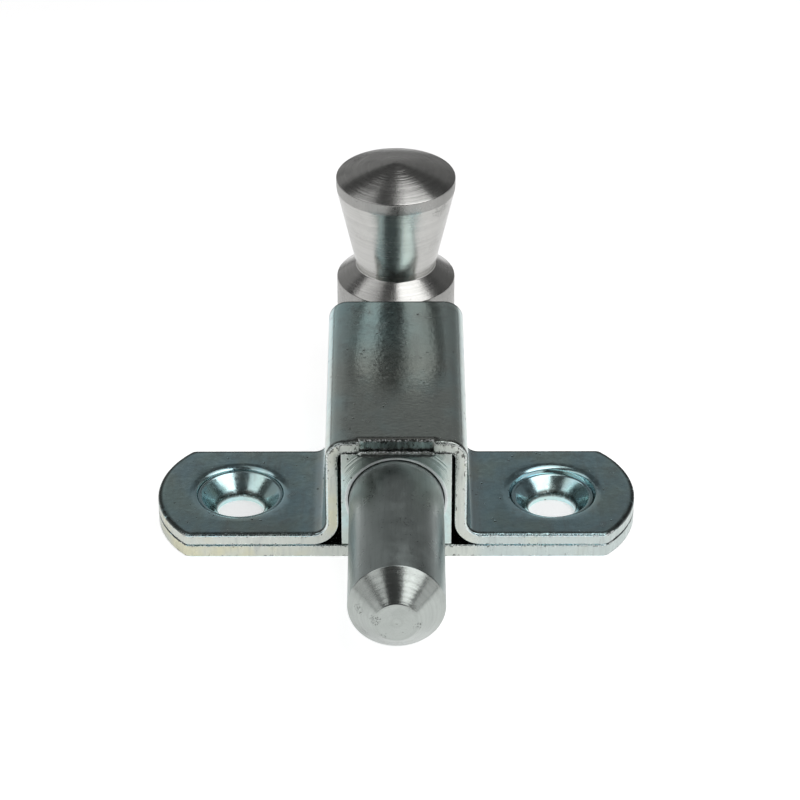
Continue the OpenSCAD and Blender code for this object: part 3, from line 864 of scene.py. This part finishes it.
class OBJECT_OT_door_bolt_base_plate(bpy.types.Operator):
    """Folds the base plate with its two end plates and draws up the flared collars"""

    bl_idname = "object.door_bolt_base_plate"
    bl_label = "Base plate"

    def end_plate(self, shell, s, xs, hole_r, brow_r, rear):
        """An end plate from the end of its slits round the fold and up, mirrored in Y for the rear one. Above the
        fold it is wider and has free corners. brow_r is the radius on its outer top edge, under the notch."""
        depth, t, plate, burr = s.base_t + s.relief_l, s.base_t, s.end_plate_w / 2, s.burr_r
        inner = arc(t + s.fold_r, t + s.fold_r, s.fold_r, 270, 180, 6)
        outer = arc(s.heel_r, s.heel_r, s.heel_r, 270, 180, 5)
        top = np.concatenate([[[depth, t]], inner])
        under = np.concatenate([[[depth, 0.0]], outer, [[0.0, inner[-1, 1]]]])

        def placed(x, depth_in, z):
            """Turns X, the distance in from the outer face, and Z into the part's frame."""
            y = s.rear_y - depth_in if rear else s.front_y + depth_in
            return spread(x, y, z)

        def carry(section):
            """A section of distance in and Z, carried along X."""
            return placed(xs[:, None], section[None, :, 0], section[None, :, 1])

        def stand(x, z, outer_r=burr, from_hole=FAR):
            """Both faces of the standing plate at these X and Z, its free edges and its hole rounded."""
            free = np.minimum(plate - np.abs(x), s.end_plate_top - z)
            free = np.where(z < low, np.minimum(free, z - t - s.corner_gap), free)
            free = np.minimum(free, from_hole)
            shell.sheet(placed(x, t, z), placed(x, 0.0, z), None, not rear, free, (burr, outer_r))

        shell.sheet(carry(top), carry(under), None, not rear)
        low, high = inner[-1, 1], s.end_plate_top - s.brow_r - 0.05
        block, slit = plate - burr, s.fold_half + s.relief_w
        wide = lines(-block, -slit, xs, slit, block)
        angles = np.tan(np.linspace(0, math.pi / 4, HOLE_CELLS // 2 + 1))
        zs = s.bolt_z + np.concatenate([(low - s.bolt_z) * angles[::-1], (high - s.bolt_z) * angles[1:]])
        edge, ray = rays(wide, zs, np.array([0, s.bolt_z]))
        reach = np.linalg.norm(edge - (0, s.bolt_z), axis=1)[:, None] - hole_r
        off = [burr + (reach - burr) * np.array([1, 0.66, 0.33]), reach * 0 + offsets(burr, 3)[::-1]]
        off = np.concatenate(off, 1)
        face = (0, s.bolt_z) + ray[:, None] * (hole_r + off)[..., None]
        stand(face[..., 0], face[..., 1], burr, off)
        side = plate - offsets(burr, 3)[::-1]
        rows = lines(high, s.end_plate_top - offsets(s.brow_r, 6), s.end_plate_top - offsets(burr, 3))
        full = lines(-side, wide, side)
        share = np.interp(np.abs(full), [s.notch_w / 2 - BROW_FADE, s.notch_w / 2], [1, 0])[:, None]
        stand(*np.broadcast_arrays(full[:, None], rows[None, :]), burr + (brow_r - burr) * share)
        foot = lines(t + s.corner_gap + offsets(burr, 3), low)
        for x, z in ((side, zs), (lines(slit, block, side), foot)):
            stand(*np.broadcast_arrays(x[:, None], z[None, :]))
            stand(*np.broadcast_arrays(-x[::-1, None], z[None, :]))

    def execute(self, context):
        s, f = sizes(), finish()
        shell = Shell()
        flange_ys, block = flange_lines(s)
        half, slot, slit, strip = s.flange_d / 2, s.base_t + s.relief_l, s.fold_half + s.relief_w, s.housing_half
        brow = s.notch_w / 2
        fold_xs = lines(fan(s.fold_half), brow, -brow, brow - BROW_FADE, BROW_FADE - brow)
        side = strip - offsets(s.edge_r)
        xs = lines(-side, -slit, fold_xs, slit, side)
        front_ys = lines(flange_ys, s.front_y + slot)
        ys = lines(front_ys, np.linspace(half, s.rear_y - slot, 4), s.rear_y - offsets(s.edge_r))
        xm, ym = np.abs(middles(xs))[:, None], middles(ys)[None, :]
        keep = ~(((ym < s.front_y + slot) | (ym > s.rear_y - slot)) & (xm < slit))
        x, y = xs[:, None], ys[None, :]
        depth = np.maximum(flange_depth(x, y, s), np.minimum(np.minimum(strip - np.abs(x), s.rear_y - y), y))
        shell.sheet(spread(x, y, s.base_t), spread(x, y, 0), keep, False, depth, (s.seam_r, s.burr_r))
        for side, lift in ((-1, s.collar_left), (1, -s.collar_right)):
            top = s.collar_top + lift
            collar = [
                (s.collar_foot_r, s.base_t), (min(s.collar_foot_r + top - s.base_t, s.collar_out_r), top),
                (s.hole_d / 2 + top - s.throat_l, top), (s.hole_d / 2, s.throat_l), (s.hole_d / 2, 0),
            ]
            rows = rounded(collar, COLLAR_ROUNDS, 4)
            add_flange(shell, side, front_ys, block, s.base_t, 0, strip, rows, s.seam_r, s)
        self.end_plate(shell, s, fold_xs, s.bolt_d / 2 + s.bore_clear, s.brow_r, False)
        self.end_plate(shell, s, fold_xs, s.stem_d / 2 + s.bore_clear, s.burr_r, True)
        finish_mesh("base_plate_sheet", shell, plated(f), "mounting", "base_plate", 50)
        return {"FINISHED"}


class OBJECT_OT_door_bolt_rod(bpy.types.Operator):
    """Turns the bolt with its chamfered tip, shoulder and stem"""

    bl_idname = "object.door_bolt_rod"
    bl_label = "Bolt"

    def execute(self, context):
        s, f = sizes(), finish()
        r, stem, tip = s.bolt_d / 2, s.stem_d / 2, s.bolt_d / 2 - s.tip_chamfer
        profile = [
            (s.tip_y + TIP_MARK, 0), (s.tip_y, s.pip_r), (s.tip_y, tip), (s.tip_y + s.tip_chamfer, r),
            (s.shoulder_y, r), (s.shoulder_y, stem), (s.stem_end_y - s.stem_chamfer, stem),
            (s.stem_end_y, stem - s.stem_chamfer), (s.stem_end_y, 0),
        ]
        rows = rounded(profile, ROD_ROUNDS, 4)
        # a lathe surface: each row turns about the bolt's axis, X by the sine and Z by the cosine of the angle
        a = np.linspace(0, 2 * math.pi, TURN_CELLS + 1)[:, None]
        along, radius = rows.T
        points = spread(radius * np.sin(a), along, s.bolt_z + radius * np.cos(a))
        mid = middles(along)
        cut = ((mid < s.tip_y + s.tip_chamfer) | (mid > s.shoulder_y - 0.2)).astype(int)
        shell = Shell()
        shell.turned(points, cut)
        stains = [((x, s.tip_y + max(0, math.hypot(x, z) - tip), s.bolt_z + z), size) for x, z, size in TIP_STAINS]
        turned = turned_steel("bolt_turned", f.tip, f.turned_gloss, f, "Y", (0, s.tip_y, s.bolt_z), stains, 1.8)
        drawn = drawn_steel("bolt_steel", f.bar, f.bar_gloss, f, RAW_LINES_Y)
        finish_mesh("bolt_bar", shell, [drawn, turned], "bolt", "bolt_rod")
        return {"FINISHED"}


class OBJECT_OT_door_bolt_spring(bpy.types.Operator):
    """Winds the return spring: closed turns at each end and working turns between"""

    bl_idname = "object.door_bolt_spring"
    bl_label = "Spring"

    def execute(self, context):
        s, f = sizes(), finish()
        coil_r = s.stem_d / 2 + s.spring_room + s.wire_d / 2
        pitch = s.wire_d + s.turn_clear
        start = s.shoulder_y + s.spring_seat + s.wire_d / 2
        end = s.rear_plate_y - s.spring_seat - s.wire_d / 2
        turns = s.working_turns + 2
        # a helix: it rises by one pitch over each end turn and evenly between, and the wire's circle k follows it
        t = np.linspace(0, turns, turns * 64 + 1)
        rise = np.interp(t, [0, 1, turns - 1, turns], [0, pitch, end - start - pitch, end - start])
        a = 2 * math.pi * t[:, None]
        k = np.linspace(0, 2 * math.pi, 17)
        radius = coil_r + s.wire_d / 2 * np.cos(k)
        along = start + rise[:, None] + s.wire_d / 2 * np.sin(k)
        points = spread(radius * np.cos(a), along, s.bolt_z + radius * np.sin(a))
        shell = Shell()
        shell.grid(points, flip=True)
        for end_ring, flip in ((points[0], False), (points[-1], True)):
            middle = np.broadcast_to(end_ring[:-1].mean(0), end_ring.shape)
            shell.grid(np.stack([end_ring, middle]), flip=flip)
        obj = finish_mesh("return_coil", shell, [wire_steel(f)], "mounting", "return_spring")
        # drawn, the coil stands 0.15 mm further from the shoulder than at rest
        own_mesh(obj)
        return {"FINISHED"}


class OBJECT_OT_door_bolt_knob(bpy.types.Operator):
    """Turns the knob and bores its barrel for the stem"""

    bl_idname = "object.door_bolt_knob"
    bl_label = "Knob"

    def execute(self, context):
        s, f = sizes(), finish()
        r, neck = s.knob_d / 2, s.neck_d / 2
        block = s.stem_d / 2 + 2
        low, high = s.bolt_z - block, s.bolt_z + block
        shell = Shell()
        a = np.linspace(-math.pi, math.pi, TURN_CELLS + 1)
        below = [(s.foot_gap, 0), (s.foot_gap, r - s.foot_chamfer), (s.foot_gap + s.foot_chamfer, r), (low, r)]
        below = rounded(below, FOOT_ROUNDS, 3)
        # the crown falls from its top by the mean of the radius's share of the rim and of its square
        u = np.linspace(s.pip_r / r, 1, 9)[::-1]
        crown = spread(s.rim_z + s.crown_h * (1 - (u + u**2) / 2), r * u)
        above = [(high, r), (s.barrel_top, r), (s.neck_z, neck), (s.land_z, r), *crown, (crown[-1, 0] - KNOB_MARK, 0)]
        above = rounded(above, HEAD_ROUNDS, 5)

        def lathed(rows, angles):
            """A lathe surface: each row turns about the knob's axis, X by the sine and Y by the cosine of the angle."""
            along, radius = rows.T
            angles = angles[:, None]
            return spread(radius * np.sin(angles), s.knob_y - radius * np.cos(angles), along)

        shell.grid(lathed(below, a))
        rows = middles(above[:, 0])
        raw_rows = (rows < s.barrel_top) | ((rows > s.land_z) & (rows < s.rim_z))
        kind = np.where(raw_rows, 1, np.where(rows > s.rim_z, 2, 0))
        shell.turned(lathed(above, a), kind)
        zs = s.bolt_z + fan(block)
        wide = math.radians(45)
        side = a[np.abs(a) >= wide - 1e-6]
        front = a[np.abs(a) <= wide + 1e-6]
        barrel = spread(zs, r)
        for part in (side[side < 0], side[side > 0]):
            shell.grid(lathed(barrel, part), None, 1)
        edge, ray = rays(r * np.sin(front), zs, np.array([0, s.bolt_z]))
        bore = s.stem_d / 2 + s.stem_seat_clear
        # around the bore the barrel's Y follows from X as sqrt(r^2 - x^2)
        face = ring(edge, ray, (0, s.bolt_z), bore, 4)
        on_barrel = spread(face[..., 0], s.knob_y - np.sqrt(r**2 - face[..., 0] ** 2), face[..., 1])
        shell.grid(on_barrel, None, 1)
        mouth = on_barrel[:, -1]
        seat = mouth.copy()
        seat[:, 1] = s.knob_y - r + s.stem_seat_l
        centre = np.broadcast_to([0, seat[0, 1], s.bolt_z], seat.shape)
        shell.grid(np.stack([mouth, seat, centre], 1))
        centre = (0, s.knob_y, 0)
        stains = [((x, s.knob_y + y, s.land_z + z), size) for x, y, z, size in KNOB_STAINS]
        steel = turned_steel("knob_steel", f.turned, f.turned_gloss, f, "Z", centre, stains)
        raw = drawn_steel("knob_bar", toned(f.turned, 0.62), f.bar_gloss - 0.04, f, RAW_LINES_Z)
        worn = turned_steel("knob_crown", toned(f.turned, 1.02), f.turned_gloss - 0.02, f, "Z", centre, stains, 2.8)
        finish_mesh("knob_turned", shell, [steel, raw, worn], "bolt", "pull_knob")
        return {"FINISHED"}


class OBJECT_OT_door_bolt_stage(bpy.types.Operator):
    """Sets the camera, the pale floor, two softboxes and the dark studio around them"""

    bl_idname = "object.door_bolt_stage"
    bl_label = "Studio"

    def lamp(self, name, outline, height, way, start, end, low, high):
        """A glowing panel that only the camera doesn't see. Its outline is given as X and Y for a height of 1, and its
        brightness goes from low to high between two distances along a way."""
        mesh = bpy.data.meshes.new(name)
        mesh.from_pydata([(x * height, y * height, height) for x, y in outline], [], [range(len(outline))])
        p = Nodes.material(name)
        glow = p.step(p.dot(p.place, way), start * height, end * height, low, high)
        p.surface(p.add("ShaderNodeEmission", {"Strength": glow}).outputs[0])
        mesh.materials.append(p.made)
        obj = bpy.data.objects.new(name, mesh)
        bpy.context.scene.collection.objects.link(obj)
        obj.visible_camera = False

    def execute(self, context):
        scene, st = context.scene, context.scene.door_bolt_studio
        camera = bpy.data.objects.new("camera", bpy.data.cameras.new("camera"))
        scene.collection.objects.link(camera)
        camera.data.sensor_width = 36
        camera.data.lens = st.lens
        camera.data.clip_start = 0.01
        camera.location = st.camera_at
        camera.rotation_euler = (math.pi / 2 - st.look_down, 0, -st.look_right)
        scene.camera = camera
        scene.view_settings.view_transform = "Standard"

        far = np.linspace(-FLOOR_HALF, FLOOR_HALF, 9)
        points = spread(far[:, None], far, FLOOR_Z).reshape(-1, 3)
        floor_mesh = bpy.data.meshes.new("floor")
        floor_mesh.from_pydata(points.tolist(), [], cells(9, 9).reshape(-1, 4).tolist())
        floor = bpy.data.objects.new("floor", floor_mesh)
        scene.collection.objects.link(floor)
        p = Nodes.material("floor_white")
        path = p.add("ShaderNodeLightPath").outputs
        x, y, _ = p.apart(p.mm())
        # what the metal reflects falls off far from the object, and a painted shadow dims it behind the object at the
        # right
        shine = p.step(p.span(p.place), st.floor_r * 0.7, st.floor_r * 1.6, st.floor_shine, 0.05)
        painted_shadow = p.less(1, p.times(p.step(x, 10, 60, 0, 0.4), p.step(y, 0, 40)))
        glossy = p.times(p.most(path["Is Glossy Ray"], path["Is Transmission Ray"]), shine, painted_shadow)
        # what the camera sees is even, but a painted shadow darkens it under the flanges, seen through the screw holes
        under = p.times(p.step(p.size(x), 25, 29, 1, 0), p.step(p.size(y), 6, 9, 1, 0))
        glow = p.times(p.step(under, 0, 1, 1, st.floor_shade), st.floor_glow)
        seen = p.most(p.times(path["Is Camera Ray"], glow), glossy)
        diffuse = p.add("ShaderNodeBsdfDiffuse", {"Color": (0.8, 0.8, 0.8)}).outputs[0]
        glow = p.add("ShaderNodeEmission", {"Strength": seen}).outputs[0]
        p.surface(p.add("ShaderNodeAddShader", {0: diffuse, 1: glow}).outputs[0])
        floor_mesh.materials.append(p.made)

        self.lamp("lamp_right", RIGHT_LAMP, st.lamp_z, (0, 1, 0), -0.1, 0.7, st.right_light, st.right_back)
        self.lamp("lamp_left", LEFT_LAMP, st.lamp_z, (-1, 0, 0), 0.1, 0.9, st.left_inner, st.left_light)

        world = bpy.data.worlds.new("studio")
        scene.world = world
        world.use_nodes = True
        w = Nodes(world.node_tree, "Generated")
        x, y, z = w.apart(w.place)
        aside = w.size(x)
        # the wall behind, brighter to the left, low down, and in two patches beside the middle of its upper border
        patches = w.times(w.step(aside, 0.02, 0.055), w.step(aside, 0.2, 0.1), w.step(z, 0.535, 0.555, 0, 0.42))
        behind = w.times(
            w.step(y, 0.15, 0.35), w.step(z, 0.605, 0.535), w.step(x, -0.8, 0.8, 1.3, 0.6), w.plus(patches, 1),
            w.step(z, 0.0, 0.35, 1.4, 1.0), st.back_wall,
        )
        # low walls beside the camera, the right one a little darker
        right = w.step(w.dot(w.place, (1, 0.36, 0)), 0.0, 0.05, 0, 0.91)
        left = w.step(w.dot(w.place, (-1, 0.84, 0)), 0.0, 0.05)
        beside = w.times(w.most(right, left), w.step(y, 0.05, -0.05), w.step(z, 0.38, 0.33), st.side_wall)
        # a band along the horizon behind, away from the middle and more to the left
        horizon = w.times(
            w.step(z, 0.04, 0.28, 1, 0), w.step(aside, 0.15, 0.5), w.step(y, 0.0, 0.1), w.step(x, -0.1, 0.1, 1, 0.65),
            st.horizon,
        )
        wall = w.most(behind, beside, horizon, st.room)
        path = w.add("ShaderNodeLightPath").outputs
        w.put(w.tree.nodes["Background"].inputs["Color"], w.mix(path["Is Camera Ray"], wall, (0.9, 0.9, 0.9)))
        return {"FINISHED"}


class VIEW3D_PT_door_bolt(bpy.types.Panel):
    """Sizes, finishes and studio of the door bolt"""

    bl_label = "Door bolt"
    bl_space_type = "VIEW_3D"
    bl_region_type = "UI"
    bl_category = "Door bolt"

    def draw(self, context):
        """One button for each operator and one box for each group of values."""
        layout = self.layout
        for operator in OPERATORS:
            layout.operator(operator.bl_idname)
        for name, group in GROUPS.items():
            box = layout.box()
            box.label(text=group.__doc__)
            values = getattr(context.scene, name)
            for key in group.__annotations__:
                box.prop(values, key)


OPERATORS = (
    OBJECT_OT_door_bolt_stage,
    OBJECT_OT_door_bolt_housing,
    OBJECT_OT_door_bolt_base_plate,
    OBJECT_OT_door_bolt_rod,
    OBJECT_OT_door_bolt_spring,
    OBJECT_OT_door_bolt_knob,
)
CLASSES = (*GROUPS.values(), *OPERATORS, VIEW3D_PT_door_bolt)


def register():
    """Adds the classes and, to the scene, one group of values of each kind."""
    for cls in CLASSES:
        bpy.utils.register_class(cls)
    for name, group in GROUPS.items():
        setattr(bpy.types.Scene, name, bpy.props.PointerProperty(type=group))


def unregister():
    """Takes them away again, the last first."""
    for name in GROUPS:
        delattr(bpy.types.Scene, name)
    for cls in reversed(CLASSES):
        bpy.utils.unregister_class(cls)


def main():
    register()
    bpy.ops.object.door_bolt_stage()
    bpy.ops.object.door_bolt_housing()
    bpy.ops.object.door_bolt_base_plate()
    bpy.ops.object.door_bolt_rod()
    bpy.ops.object.door_bolt_spring()
    bpy.ops.object.door_bolt_knob()


if __name__ == "__main__":
    main()
